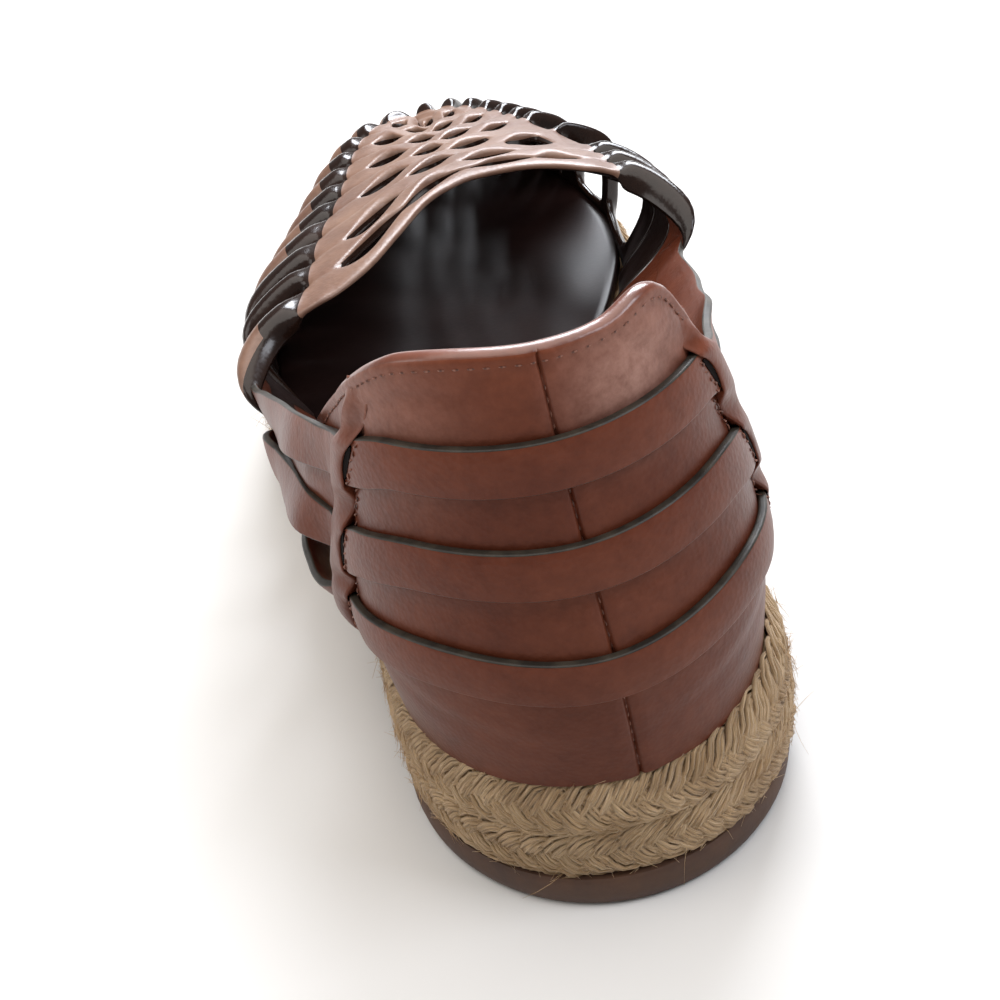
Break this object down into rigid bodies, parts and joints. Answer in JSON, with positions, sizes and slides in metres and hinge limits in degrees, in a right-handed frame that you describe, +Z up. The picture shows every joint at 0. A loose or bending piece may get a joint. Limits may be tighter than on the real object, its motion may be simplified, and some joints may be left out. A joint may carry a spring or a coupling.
{
  "type": "espadrille",
  "caption": "Flat closed-toe espadrille for the left foot: woven leather vamp, leather heel counter with straps through keeper loops, braided jute midsole and rubber outsole.",
  "frame": {"origin": "on the floor, under the middle of the shoe's box", "axes": "+Y to the toe, +X to the inner side of the left foot, +Z up"},
  "size_m": [0.0948, 0.244, 0.0943],
  "materials": {
    "outsole_rubber": "matt",
    "jute_braid": "fibrous",
    "footbed_leather": "gloss",
    "upper_leather": "satin",
    "strap_leather": "satin"
  },
  "bodies": {
    "root": {"outsole": "outsole_rubber", "jute_midsole": "jute_braid", "insole": "footbed_leather", "vamp": "upper_leather", "heel_counter": "upper_leather", "heel_strap_top": "strap_leather", "heel_strap_middle": "strap_leather", "heel_strap_bottom": "strap_leather"}
  },
  "joints": []
}
